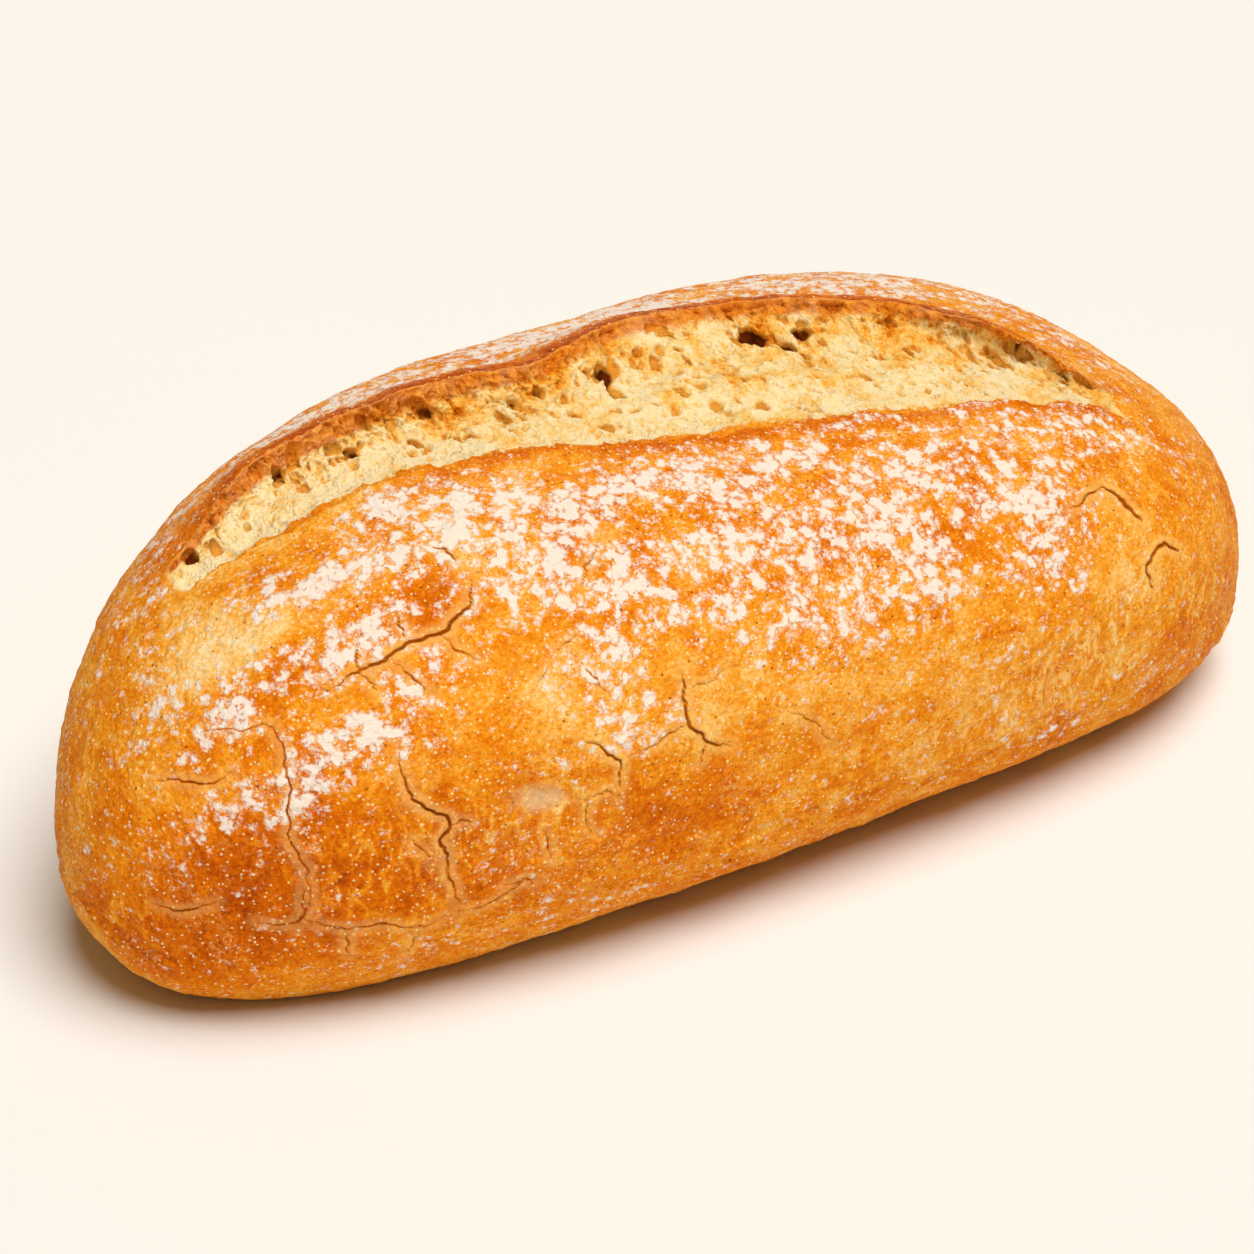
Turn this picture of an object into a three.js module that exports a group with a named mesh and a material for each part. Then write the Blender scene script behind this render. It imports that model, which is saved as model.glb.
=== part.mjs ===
// A short, stout baguette loaf, baked as one piece. One diagonal slash runs almost from end to
// end along its crown. The crust in front of the slash ends in a thin edge, the crumb lies open
// behind it, and the crust at the rear has lifted into an ear. The loaf rests on its flat base.
//
// Millimetres, +Z up. X runs along the loaf, and -Y is its front flank.

import * as THREE from 'three';

// Driving dimensions of the crust, without the ear.
const LENGTH = 270;
const WIDTH = 134; // at the middle section
const HEIGHT = 84; // at the middle section
const BEND = -9; // how far the two ends lean towards the front
const TAPER_WIDTH = 0.12; // the +X half is wider by this share
const TAPER_HEIGHT = -0.12; // and lower by this share
const END_HEIGHT = 23; // height of the two end points above the base
const BASE_CUT = 8; // how much of the underside's bulge the flat base takes off
const WAIST = 0.44; // the widest level, as a share of the section's height

// How square each outline is towards the end points: 2 is an ellipse, and more is blunter.
const PLAN_BLUNTNESS = { left: 2.3, right: 3.5 };
const CROWN_BLUNTNESS = { left: 2.9, right: 4 };
const UNDERSIDE_BLUNTNESS = 8;
const UPPER_SQUARENESS = 2.45; // of the section above the waist
const LOWER_SQUARENESS = 2.7; // of the section below the waist

// The slash, seen from above, as [x, y] points of its two edges.
const SLASH_FRONT = [
  [-107, 3], [-92, -1], [-75, -2], [-40, -7], [0, -18], [40, -27], [75, -34], [101, -41],
];
const SLASH_REAR = [
  [-107, 3], [-98, 10], [-80, 15], [-50, 14], [-20, 10], [8, 19], [35, 15], [56, 5], [78, -15],
  [101, -41],
];
const SLASH_FULL_WIDTH = 20; // where the slash is this wide or more, it has its full depth
const SLASH_DEPTH = 4;
const EAR_HEIGHT = 6;
const EAR_SPREAD = 17; // how far behind the rear edge the lift dies out
const WALL_START = 0.62; // where the crumb turns up to the ear, as a share of the slash's width

// Gentle unevenness of the baked crust: share of the radius, waves along, waves around, phase.
const SWELLS = [
  { share: 0.011, along: 3.1, around: 2, phase: 0.4 },
  { share: 0.008, along: 5.3, around: 3, phase: 2.1 },
  { share: 0.006, along: 8.2, around: 1, phase: 4.4 },
];

// Mesh resolution.
const STATIONS = 72;
const SLASH_STEPS = 9;
const FRONT_STEPS = 20;
const REAR_STEPS = 23;
const LEAST_SLASH_MESH_WIDTH = 9; // beyond the slash's tips its mesh lines keep this spacing

// A smooth curve y(x) through [x, y] points, level beyond the first and last of them.
function curveThrough(points) {
  const slopeAt = (i) => {
    const before = points[Math.max(i - 1, 0)];
    const after = points[Math.min(i + 1, points.length - 1)];
    return (after[1] - before[1]) / (after[0] - before[0]);
  };
  return (x) => {
    const last = points.length - 1;
    if (x <= points[0][0]) return points[0][1];
    if (x >= points[last][0]) return points[last][1];
    const i = points.findIndex((point) => point[0] > x) - 1;
    const step = points[i + 1][0] - points[i][0];
    const u = (x - points[i][0]) / step;
    const bump = u * u * (3 - 2 * u);
    const startSlope = slopeAt(i) * step * u * (1 - u) ** 2;
    const endSlope = slopeAt(i + 1) * step * u * u * (u - 1);
    return points[i][1] * (1 - bump) + points[i + 1][1] * bump + startSlope + endSlope;
  };
}

const slashFront = curveThrough(SLASH_FRONT);
const slashRear = curveThrough(SLASH_REAR);
const { clamp, lerp, smoothstep } = THREE.MathUtils;

// The loaf's cross-section at s, which runs from -1 at the left end to 1 at the right end.
function sectionAt(s) {
  const side = s < 0 ? 'left' : 'right';
  const rounding = (bluntness) => Math.sqrt(Math.max(0, 1 - Math.abs(s) ** bluntness));
  const crownHeight = HEIGHT * (1 + TAPER_HEIGHT * s);
  const top = lerp(END_HEIGHT, crownHeight, rounding(CROWN_BLUNTNESS[side]));
  const bottom = lerp(END_HEIGHT, -BASE_CUT, rounding(UNDERSIDE_BLUNTNESS));
  const floor = Math.max(bottom, 0);
  return {
    s,
    x: (s * LENGTH) / 2,
    middle: BEND * s * s,
    halfWidth: (WIDTH / 2) * (1 + TAPER_WIDTH * s) * rounding(PLAN_BLUNTNESS[side]),
    top,
    bottom,
    waist: lerp(floor, top, WAIST),
  };
}

// The crust's point at an angle around the section: 0 is the rear, a quarter turn the crown,
// half a turn the front and three quarters the base.
function crustPoint(section, angle) {
  const upper = Math.sin(angle) >= 0;
  const power = 2 / (upper ? UPPER_SQUARENESS : LOWER_SQUARENESS);
  const across = Math.sign(Math.cos(angle)) * Math.abs(Math.cos(angle)) ** power;
  const reach = upper ? section.top - section.waist : section.bottom - section.waist;
  let swell = 1;
  for (const { share, along, around, phase } of SWELLS) {
    swell += share * Math.sin(along * section.s + phase) * Math.cos(around * angle + phase);
  }
  const y = section.middle + section.halfWidth * across * swell;
  const z = section.waist + reach * Math.abs(Math.sin(angle)) ** power * swell;
  return new THREE.Vector3(section.x, y, z);
}

// The angle at which the upper crust passes over a given y.
function angleOver(section, y) {
  const across = clamp((y - section.middle) / section.halfWidth, -1, 1);
  return Math.acos(Math.sign(across) * Math.abs(across) ** (UPPER_SQUARENESS / 2));
}

// How far the slash and the ear move a point of the crown up or down.
function slashLift(x, y) {
  const front = slashFront(x);
  const width = slashRear(x) - front;
  const fullness = smoothstep(width, 0, SLASH_FULL_WIDTH);
  const share = (y - front) / Math.max(width, 1);
  if (share <= 0) return 0;
  if (share >= 1) {
    const slope = slashRear(x + 1) - slashRear(x);
    const behind = (y - slashRear(x)) / Math.hypot(1, slope);
    return EAR_HEIGHT * fullness * (1 - smoothstep(behind, 0, EAR_SPREAD));
  }
  const groove = SLASH_DEPTH * Math.sin(Math.PI * Math.sqrt(share)) * (1 - share ** 2);
  return fullness * (EAR_HEIGHT * smoothstep(share, WALL_START, 1) - groove);
}

// The angles of the mesh lines around one section, following the slash's two edges. Beyond the
// slash's tips they are those of the nearest tip.
function meshAngles(section) {
  const leftTip = SLASH_REAR[0][0];
  const rightTip = SLASH_REAR[SLASH_REAR.length - 1][0];
  const guide = sectionAt(clamp(section.x, leftTip, rightTip) / (LENGTH / 2));
  const front = slashFront(guide.x);
  const rear = slashRear(guide.x);
  const spare = Math.max(0, LEAST_SLASH_MESH_WIDTH - (rear - front)) / 2;
  const rearAngle = angleOver(guide, rear + spare);
  const frontAngle = angleOver(guide, front - spare);
  const base = 1.5 * Math.PI;
  const spread = (from, to, steps) => {
    return Array.from({ length: steps }, (unused, i) => lerp(from, to, i / steps));
  };
  return [
    ...spread(rearAngle, frontAngle, SLASH_STEPS),
    ...spread(frontAngle, base, FRONT_STEPS),
    ...spread(base, 2 * Math.PI + rearAngle, REAR_STEPS),
  ];
}

function loafGeometry() {
  const positions = [];
  const triangles = [];
  const ringSize = SLASH_STEPS + FRONT_STEPS + REAR_STEPS;
  positions.push(-LENGTH / 2, BEND, END_HEIGHT);
  for (let station = 1; station < STATIONS; station += 1) {
    const section = sectionAt(-Math.cos((Math.PI * station) / STATIONS));
    for (const angle of meshAngles(section)) {
      const point = crustPoint(section, angle);
      if (Math.sin(angle) > 0) point.z += slashLift(point.x, point.y);
      positions.push(point.x, point.y, Math.max(point.z, 0));
    }
  }
  const rightTip = positions.length / 3;
  positions.push(LENGTH / 2, BEND, END_HEIGHT);
  const ringStart = (station) => 1 + (station - 1) * ringSize;
  for (let i = 0; i < ringSize; i += 1) {
    const next = (i + 1) % ringSize;
    triangles.push(0, ringStart(1) + next, ringStart(1) + i);
    triangles.push(rightTip, ringStart(STATIONS - 1) + i, ringStart(STATIONS - 1) + next);
    for (let station = 1; station < STATIONS - 1; station += 1) {
      const here = ringStart(station);
      const beyond = ringStart(station + 1);
      triangles.push(here + i, here + next, beyond + i);
      triangles.push(here + next, beyond + next, beyond + i);
    }
  }
  const geometry = new THREE.BufferGeometry();
  geometry.setAttribute('position', new THREE.Float32BufferAttribute(positions, 3));
  geometry.setIndex(triangles);
  geometry.computeVertexNormals();
  return geometry;
}

// The loaf stands with the bottom centre of its bounding box at the origin.
function makeLoaf() {
  const geometry = loafGeometry();
  geometry.computeBoundingBox();
  const centre = geometry.boundingBox.getCenter(new THREE.Vector3());
  const crust = new THREE.MeshStandardMaterial({
    color: 0xcc8a45,
    roughness: 0.62,
    metalness: 0,
  });
  const loaf = new THREE.Mesh(geometry, crust);
  loaf.name = 'loaf';
  loaf.position.set(-centre.x, -centre.y, -geometry.boundingBox.min.z);
  return loaf;
}

const baguette = new THREE.Group();
baguette.add(makeLoaf());

export default baguette;
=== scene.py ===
"""A short, stout baguette loaf with one diagonal slash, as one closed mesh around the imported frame.

The crust's plain shape is the CAD solid's own formula. The mesh follows it row by row around the
loaf, with finer rows and stations in the slash, and adds what the solid leaves out: the crust's
swells, wrinkles and cracks, flour that stands proud of it, the torn crumb and the lifted ear.

Lengths are millimetres until the mesh is made, angles around a section are radians in code and
degrees in the lists of places, and materials and lights are in the frame's metres.
"""

import itertools
import math

import bpy
import numpy as np
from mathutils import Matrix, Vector


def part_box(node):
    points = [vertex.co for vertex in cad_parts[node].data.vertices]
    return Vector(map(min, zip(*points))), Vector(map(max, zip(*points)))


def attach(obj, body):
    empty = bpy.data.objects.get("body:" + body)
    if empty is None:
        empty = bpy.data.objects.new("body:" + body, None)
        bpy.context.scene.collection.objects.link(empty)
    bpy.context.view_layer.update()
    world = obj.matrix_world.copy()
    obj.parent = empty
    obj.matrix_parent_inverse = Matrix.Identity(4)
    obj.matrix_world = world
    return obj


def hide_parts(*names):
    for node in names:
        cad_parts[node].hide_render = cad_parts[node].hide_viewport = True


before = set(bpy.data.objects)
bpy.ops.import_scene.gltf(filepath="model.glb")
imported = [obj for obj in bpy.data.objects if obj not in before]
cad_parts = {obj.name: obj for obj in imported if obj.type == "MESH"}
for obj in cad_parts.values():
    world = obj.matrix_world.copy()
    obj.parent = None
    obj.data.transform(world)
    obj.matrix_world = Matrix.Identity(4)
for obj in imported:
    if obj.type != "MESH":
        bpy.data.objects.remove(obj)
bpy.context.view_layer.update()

MM = 0.001
SEED = 7
TOLERANCE = 1e-6
TINY = 1e-9  # keeps a division from being by 0

# -------- the CAD solid's dimensions
LENGTH = 270
WIDTH = 134
HEIGHT = 84
BEND = -9
TAPER_WIDTH = 0.12
TAPER_HEIGHT = -0.12
END_HEIGHT = 23
BASE_CUT = 8
WAIST = 0.44
PLAN_BLUNTNESS = (2.3, 3.5)  # left end, right end
CROWN_BLUNTNESS = (2.9, 4)
UNDERSIDE_BLUNTNESS = (8, 8)
UPPER_SQUARENESS = 2.45
LOWER_SQUARENESS = 2.7
SWELLS = (  # share of the section, waves along, waves around, phase
    (0.011, 3.1, 2, 0.4), (0.008, 5.3, 3, 2.1), (0.006, 8.2, 1, 4.4),
)
SLASH_FRONT = (
    (-107, 3), (-92, -1), (-75, -2), (-40, -7), (0, -18), (40, -27), (75, -34), (101, -41),
)
SLASH_REAR = (
    (-107, 3), (-98, 10), (-80, 15), (-50, 14), (-20, 10), (8, 19), (35, 15), (56, 5), (78, -15),
    (101, -41),
)
SLASH_FULL_WIDTH = 20
EAR_HEIGHT = 6
EAR_SPREAD = 17

# -------- mesh resolution
DETAIL = 1.0
STATIONS = 2 * int(430 * DETAIL)  # along the loaf, in the crust's rows
SLASH_ROWS = int(190 * DETAIL)
FRONT_ROWS = int(370 * DETAIL)
BASE_ROWS = int(44 * DETAIL)
REAR_ROWS = int(230 * DETAIL)
BASE_FROM = math.radians(229)
BASE_TO = math.radians(311)
LEAST_SLASH_MESH_WIDTH = 9


def curve_through(points, x):
    """A smooth curve y(x) through points, level beyond the first and last of them."""
    xs, ys = np.array(points, float).T
    slopes = np.empty(len(xs))
    slopes[1:-1] = (ys[2:] - ys[:-2]) / (xs[2:] - xs[:-2])
    slopes[0] = (ys[1] - ys[0]) / (xs[1] - xs[0])
    slopes[-1] = (ys[-1] - ys[-2]) / (xs[-1] - xs[-2])
    x = np.clip(x, xs[0], xs[-1])
    i = np.clip(np.searchsorted(xs, x, side="right") - 1, 0, len(xs) - 2)
    step = xs[i + 1] - xs[i]
    u = (x - xs[i]) / step
    bump = u * u * (3 - 2 * u)
    ends = slopes[i] * u * (1 - u) ** 2 + slopes[i + 1] * u * u * (u - 1)
    return ys[i] * (1 - bump) + ys[i + 1] * bump + ends * step


def smoothstep(x, low, high):
    t = np.clip((x - low) / (high - low), 0, 1)
    return t * t * (3 - 2 * t)


def mix(a, b, share):
    return a + (b - a) * share


def bell(x, middle, reach):
    """1 at the middle, fading to nearly 0 at twice the reach from it."""
    return np.exp(-(((x - middle) / reach) ** 2))


# -------- noise
LATTICE = 64
NOISE_GAIN = 1.6
OCTAVE_SHIFT = 17.3
CELL_JITTER = 0.45


class Noise:
    """Smooth 3D gradient noise, from about -1 to 1, that repeats only after LATTICE cells."""

    def __init__(self, seed):
        gradients = np.random.default_rng(seed).normal(size=(LATTICE**3, 3))
        lengths = np.linalg.norm(gradients, axis=1, keepdims=True)
        self.gradients = (gradients / lengths).astype(np.float32)

    def gradient(self, cell):
        """The fixed random direction at a cell's corner."""
        where = cell & (LATTICE - 1)
        return self.gradients[(where[..., 0] * LATTICE + where[..., 1]) * LATTICE + where[..., 2]]

    def __call__(self, points):
        base = np.floor(points)
        offset = (points - base).astype(np.float32)
        cell = base.astype(np.int32)
        fade = offset**3 * (offset * (offset * 6 - 15) + 10)
        total = np.zeros(points.shape[:-1], np.float32)
        for corner in itertools.product((0, 1), repeat=3):
            gradient = self.gradient(cell + corner)
            weight = 1.0
            dot = 0.0
            for axis in range(3):
                share = fade[..., axis]
                weight = weight * (share if corner[axis] else 1 - share)
                dot = dot + gradient[..., axis] * (offset[..., axis] - corner[axis])
            total += weight * dot
        return total * NOISE_GAIN


noise = Noise(SEED)


def rough(points, size, octaves, shift, falloff=0.5):
    """Layered noise. size is the largest wavelength in millimetres, or one for each axis.

    The named settings of noise below give size, octaves, shift and, where it isn't a half, falloff.
    """
    total = 0.0
    strength = 1.0
    cells = points / np.asarray(size, float) + shift
    for octave in range(octaves):
        total = total + strength * noise(cells * 2**octave + octave * OCTAVE_SHIFT)
        strength *= falloff
    return total


def swirl(points, size, octaves, shift):
    """Noise in all three directions, which bends whatever is laid out on points moved by it."""
    return np.stack([rough(points, size, octaves, shift + 10.0 * axis) for axis in range(3)], -1)


def foam(points, size, shift):
    """How far each point is from the walls between irregular cells: 0 on a wall, about 1 inside."""
    cells = (points / np.asarray(size, float) + shift).astype(np.float32)
    base = np.floor(cells)
    first = np.full(points.shape[:-1], np.inf, np.float32)
    second = first.copy()
    for offset in itertools.product((-1, 0, 1), repeat=3):
        cell = base + offset
        middle = cell + 0.5 + CELL_JITTER * noise.gradient(cell.astype(np.int32))
        away = np.linalg.norm(cells - middle, axis=-1)
        second = np.minimum(second, np.maximum(first, away))
        first = np.minimum(first, away)
    return second - first


# -------- the crust's plain shape
LUMPS = ((0.011, 48, 1, 3.1), (0.006, 21, 2, 8.7))  # share of the section, then a setting of noise


def section_at(s):
    """The cross-section at s, from -1 at the left end to 1 at the right end."""

    def rounding(bluntness):
        power = np.where(s < 0, bluntness[0], bluntness[1])
        return np.sqrt(np.clip(1 - np.abs(s) ** power, 0, None))

    crown = HEIGHT * (1 + TAPER_HEIGHT * s)
    top = mix(END_HEIGHT, crown, rounding(CROWN_BLUNTNESS))
    bottom = mix(END_HEIGHT, -BASE_CUT, rounding(UNDERSIDE_BLUNTNESS))
    return {
        "s": s,
        "x": s * LENGTH / 2,
        "middle": BEND * s * s,
        "half_width": WIDTH / 2 * (1 + TAPER_WIDTH * s) * rounding(PLAN_BLUNTNESS),
        "top": top,
        "bottom": bottom,
        "waist": mix(np.maximum(bottom, 0), top, WAIST),
    }


def crust_points(section, angle, lumpy=True):
    """Points on the crust: angle 0 is the rear, a quarter turn the crown, half a turn the front.

    Only the mesh is lumpy. The CAD solid is the same shape without its lumps.
    """
    upper = np.sin(angle) >= 0
    power = np.where(upper, 2 / UPPER_SQUARENESS, 2 / LOWER_SQUARENESS)
    across = np.sign(np.cos(angle)) * np.abs(np.cos(angle)) ** power
    reach = np.where(upper, section["top"], section["bottom"]) - section["waist"]
    upright = reach * np.abs(np.sin(angle)) ** power
    swell = 1.0
    for share, along, around, phase in SWELLS:
        swell = swell + share * np.sin(along * section["s"] + phase) * np.cos(around * angle + phase)
    x = section["x"] + np.zeros_like(across)

    def place(swelling):
        y = section["middle"] + section["half_width"] * across * swelling
        z = section["waist"] + upright * swelling
        return np.stack([x, y, z], -1)

    points = place(swell)
    if lumpy:
        bumps = sum(share * rough(points, *setting) for share, *setting in LUMPS)
        points = place(swell + bumps)
    return points


def angle_over(section, y):
    """The angle at which the upper crust passes over y."""
    across = np.clip((y - section["middle"]) / section["half_width"], -1, 1)
    return np.arccos(np.sign(across) * np.abs(across) ** (UPPER_SQUARENESS / 2))


# -------- the slash
# The slash's cross-section from its thin front edge, 0, to the ear's rim, 1. Each row of points
# gives how far across the slash it lies, its depth below the crust, and its share of the ear.
SLASH_PROFILE = {
    "place": (0, 0.03, 0.15, 0.35, 0.5, 0.62, 0.74, 0.84, 0.92, 0.97, 1),
    "across": (0, 0.012, 0.15, 0.35, 0.5, 0.63, 0.76, 0.86, 0.935, 0.975, 1),
    "depth": (0, 0.4, 1.6, 2.6, 2.7, 2.9, 2.2, 1.0, 0.3, 0, 0),
    "ear": (0, 0, 0, 0, 0.03, 0.1, 0.28, 0.52, 0.78, 0.93, 1),
}
UNDERCUT = ((-107, 0), (-70, 0.1), (-25, 0.5), (0, 0), (45, 0.2), (72, 3.2), (92, 3.2), (101, 0))
UNDERCUT_PLACE = 0.82  # on the profile, below the ear's rim
UNDERCUT_REACH = 0.1
LEAST_UNDERCUT_WIDTH = 6
RAGGED_EDGE = 1.6  # how far the torn edges wander
RAGGED_RIM = 0.8 * RAGGED_EDGE
TEAR = (17, 5)  # wavelength and octaves of their wandering
TEAR_FALLOFF = 0.7
TIP_LENGTH = 14  # the edges run smooth this near the slash's tips


def wander(x, shift):
    """How far a torn edge strays at x."""
    line = np.stack([x, np.full_like(x, shift), np.zeros_like(x)], -1)
    return rough(line, *TEAR, shift, TEAR_FALLOFF)


def slash_edges(x):
    tips = smoothstep(x, SLASH_REAR[0][0], SLASH_REAR[0][0] + TIP_LENGTH)
    tips = tips * smoothstep(-x, -SLASH_REAR[-1][0], -SLASH_REAR[-1][0] + TIP_LENGTH)
    front = curve_through(SLASH_FRONT, x) + RAGGED_EDGE * tips * wander(x, 2.5)
    rear = curve_through(SLASH_REAR, x) + RAGGED_RIM * tips * wander(x, 40.5)
    return front, rear


def slash_angles(section):
    """The angles of the slash's front edge and rear rim, kept apart beyond its two tips."""
    x = np.clip(section["x"], SLASH_REAR[0][0], SLASH_REAR[-1][0])
    guide = section_at(x / (LENGTH / 2))
    front, rear = slash_edges(x)
    spare = np.maximum(0, LEAST_SLASH_MESH_WIDTH - (rear - front)) / 2
    return angle_over(guide, front - spare), angle_over(guide, rear + spare)


def slash_fullness(x):
    front, rear = slash_edges(x)
    inside = (x > SLASH_REAR[0][0]) & (x < SLASH_REAR[-1][0])
    return np.where(inside, smoothstep(rear - front, 0, SLASH_FULL_WIDTH), 0)


def ear_lift(x, y):
    """How far the crust behind the slash has lifted."""
    _, rear = slash_edges(x)
    slope = curve_through(SLASH_REAR, x + 1) - curve_through(SLASH_REAR, x)
    behind = (y - rear) / np.hypot(1, slope)
    return EAR_HEIGHT * slash_fullness(x) * (1 - smoothstep(behind, 0, EAR_SPREAD))


# -------- the rows of the mesh
CROWN_SINE = 0.3  # the angle's sine from which the crust counts as the crown


def stations_from_end_to_end(count):
    """s at each station between the loaf's tips, closer together near them."""
    return -np.cos(np.pi * np.arange(1, count) / count)[None]


class Rows:
    """Neighbouring rows with the same stations: plain positions, normals and what varies on them."""

    def __init__(self, angles, stations, places=None):
        self.stations = stations
        section = section_at(stations_from_end_to_end(stations))
        self.front, self.rear = slash_angles(section)
        self.angle = angles(self.front, self.rear) + np.zeros_like(self.front)
        self.degrees = np.degrees(self.angle) % 360
        self.points = crust_points(section, self.angle)
        self.x = self.points[..., 0]
        self.fullness = slash_fullness(section["x"])
        if places is None:
            crown = smoothstep(np.sin(self.angle), 0, CROWN_SINE)
            behind = np.cos(self.angle) > np.cos(self.rear) - TOLERANCE
            lift = ear_lift(self.x, self.points[..., 1]) * crown * behind
        else:
            ear = slash_profile("ear", places)
            lift = self.fullness * (ear * EAR_HEIGHT - slash_profile("depth", places))
        self.points[..., 2] += lift
        self.measure()
        shape = self.angle.shape
        self.values = {
            name: np.zeros(shape, np.float32)
            for name in ("crumb", "toast", "pit", "flour", "crack", "lip", "tone", "rim")
        }

    def measure(self):
        """Finds the normals and the spacing between rows and between stations."""
        along = np.gradient(self.points, axis=1)
        around = np.gradient(self.points, axis=0)
        normal = np.cross(around, along)
        self.normals = normal / np.maximum(np.linalg.norm(normal, axis=-1, keepdims=True), TINY)
        self.station_step = np.linalg.norm(along, axis=-1)
        self.row_step = np.linalg.norm(around, axis=-1)


def slash_profile(name, places):
    return curve_through(list(zip(SLASH_PROFILE["place"], SLASH_PROFILE[name])), places)


def slash_rows():
    """The slash's rows, from the ear's rim to the front edge, with twice the crust's stations."""
    places = np.linspace(1, 0, SLASH_ROWS + 1)[:, None]
    share = slash_profile("across", places)
    x = stations_from_end_to_end(2 * STATIONS) * LENGTH / 2
    front, rear = slash_edges(x)
    fullness = slash_fullness(x)
    undercut = curve_through(UNDERCUT, x) / np.maximum(rear - front, LEAST_UNDERCUT_WIDTH)
    under_rim = bell(places, UNDERCUT_PLACE, UNDERCUT_REACH)
    across = mix(places, share + undercut * under_rim, fullness)
    rows = Rows(lambda front, rear: mix(front, rear, across), 2 * STATIONS, places)
    rows.places = places
    return rows


def crust_rows(start, end, count, stations):
    """Rows from one edge angle to another. The slash's own rows hold the edges themselves."""
    share = (np.arange(1, count + 1) / (count + 1))[:, None]
    return Rows(lambda front, rear: mix(start(front, rear), end(front, rear), share), stations)


slash = slash_rows()
front_flank = crust_rows(lambda f, r: f, lambda f, r: BASE_FROM, FRONT_ROWS, STATIONS)
base = crust_rows(lambda f, r: BASE_FROM, lambda f, r: BASE_TO, BASE_ROWS, STATIONS // 2)
rear_flank = crust_rows(lambda f, r: BASE_TO, lambda f, r: r + 2 * np.pi, REAR_ROWS, STATIONS)
CRUSTS = (front_flank, base, rear_flank)

# -------- cracks in the crust
# Each crack is its half width in the middle, and its points as x and degrees around the section.
CRACKS = (
    (0.42, ((-94, 130), (-88, 128), (-82, 129), (-77, 127), (-71, 128), (-66, 125), (-63, 123),
            (-59, 116))),
    (0.26, ((-85, 122), (-87, 128))),
    (0.26, ((-77, 119), (-77, 126))),
    (0.24, ((-82, 129), (-79, 135), (-77, 141))),
    (0.24, ((-71, 128), (-69, 134), (-67, 137))),
    (0.24, ((-87, 128), (-85, 136))),
    (0.4, ((-85, 149), (-86, 157), (-84, 166), (-79, 173), (-81, 176), (-79, 184), (-78, 193))),
    (0.22, ((-79, 173), (-75, 174))),
    (0.24, ((-114, 119), (-109, 126), (-104, 130), (-104, 138), (-105, 151), (-106, 164), (-104, 177),
            (-107, 185))),
    (0.24, ((-106, 182), (-99, 188), (-92, 189), (-84, 193), (-79, 191))),
    (0.24, ((-113, 181), (-109, 183), (-106, 182), (-105, 177))),
    (0.24, ((-128, 172), (-124, 175), (-119, 174))),
    (0.24, ((-79, 191), (-73, 191), (-66, 188), (-62, 188))),
    (0.22, ((-88, 205), (-85, 194))),
    (0.22, ((-98, 189), (-97, 199))),
    (0.22, ((-61, 179), (-61, 184))),
    (0.24, ((-123, 121), (-121, 126), (-116, 136), (-112, 137))),
    (0.5, ((-30, 153), (-31, 162), (-31, 166), (-28, 171), (-23, 174))),
    (0.26, ((-28, 171), (-30, 175))),
    (0.22, ((-31, 166), (-35, 167), (-41, 169))),
    (0.2, ((-30, 158), (-25, 158), (-20, 156))),
    (0.34, ((-53, 162), (-49, 166), (-46, 170), (-47, 177))),
    (0.22, ((-54, 176), (-51, 175), (-47, 177))),
    (0.22, ((-54, 176), (-52, 181))),
    (0.24, ((-33, 119), (-38, 123), (-40, 125), (-43, 130))),
    (0.22, ((-47, 138), (-52, 141))),
    (0.2, ((-50, 141), (-48, 147), (-45, 155))),
    (0.2, ((-54, 143), (-58, 146), (-61, 148))),
    (0.3, ((-64, 107), (-62, 110), (-62, 115))),
    (0.3, ((63, 141), (69, 140), (75, 136))),
    (1.2, ((75, 138), (77, 142), (80, 149))),
    (0.8, ((89, 159), (82, 157), (78, 161), (79, 168))),
    (0.2, ((50, 178), (50, 187))),
    (0.2, ((30, 181), (28, 185))),
    (0.2, ((-10, 170), (-6, 173), (-1, 179))),
    (0.22, ((-69, 187), (-66, 187), (-63, 189))),
    (0.2, ((-86, 174), (-83, 180))),
    (0.4, ((-60, 35), (-52, 31), (-47, 24), (-49, 14), (-44, 4))),
    (0.24, ((-47, 24), (-40, 22), (-34, 25))),
    (0.24, ((-49, 14), (-56, 10))),
    (0.34, ((12, 46), (20, 41), (24, 33), (34, 29), (37, 20))),
    (0.24, ((24, 33), (18, 27))),
    (0.22, ((34, 29), (41, 33), (46, 32))),
    (0.38, ((78, 28), (83, 20), (80, 10), (85, 0), (83, -9))),
    (0.22, ((80, 10), (73, 6))),
    (0.3, ((-104, 52), (-98, 40), (-101, 28), (-96, 16))),
    (0.22, ((-98, 40), (-91, 38))),
    (0.28, ((2, 8), (9, 2), (8, -8))),
    (0.26, ((112, 60), (116, 78), (112, 96), (117, 112))),
    (0.22, ((116, 78), (121, 84))),
)
CRACK_STEP = 0.5
CRACK_REACH = 3.0  # how far from its line a crack and its lips can be noticed
CRACK_WANDER = 0.8
CRACK_NOISE = (5, 3, 0.3, 0.7)  # wavelength, octaves, shift, falloff
CRACK_TRACKS = (9.3, 4.1)  # what sets one crack's noise apart from the next, and x from the angle
MM_PER_RADIAN = 55  # about, on the crust
HAIRLINE = 0.15  # half widths
WIDE_CRACK = 0.42
GROOVE_BASE = 0.22
GROOVE_WIDENING = 0.3
FAINT_CRACK = 0.6  # how strong a hairline and a crack's ends are
LIP_OFFSET = 0.75
LIP_REACH = 0.7


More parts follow.
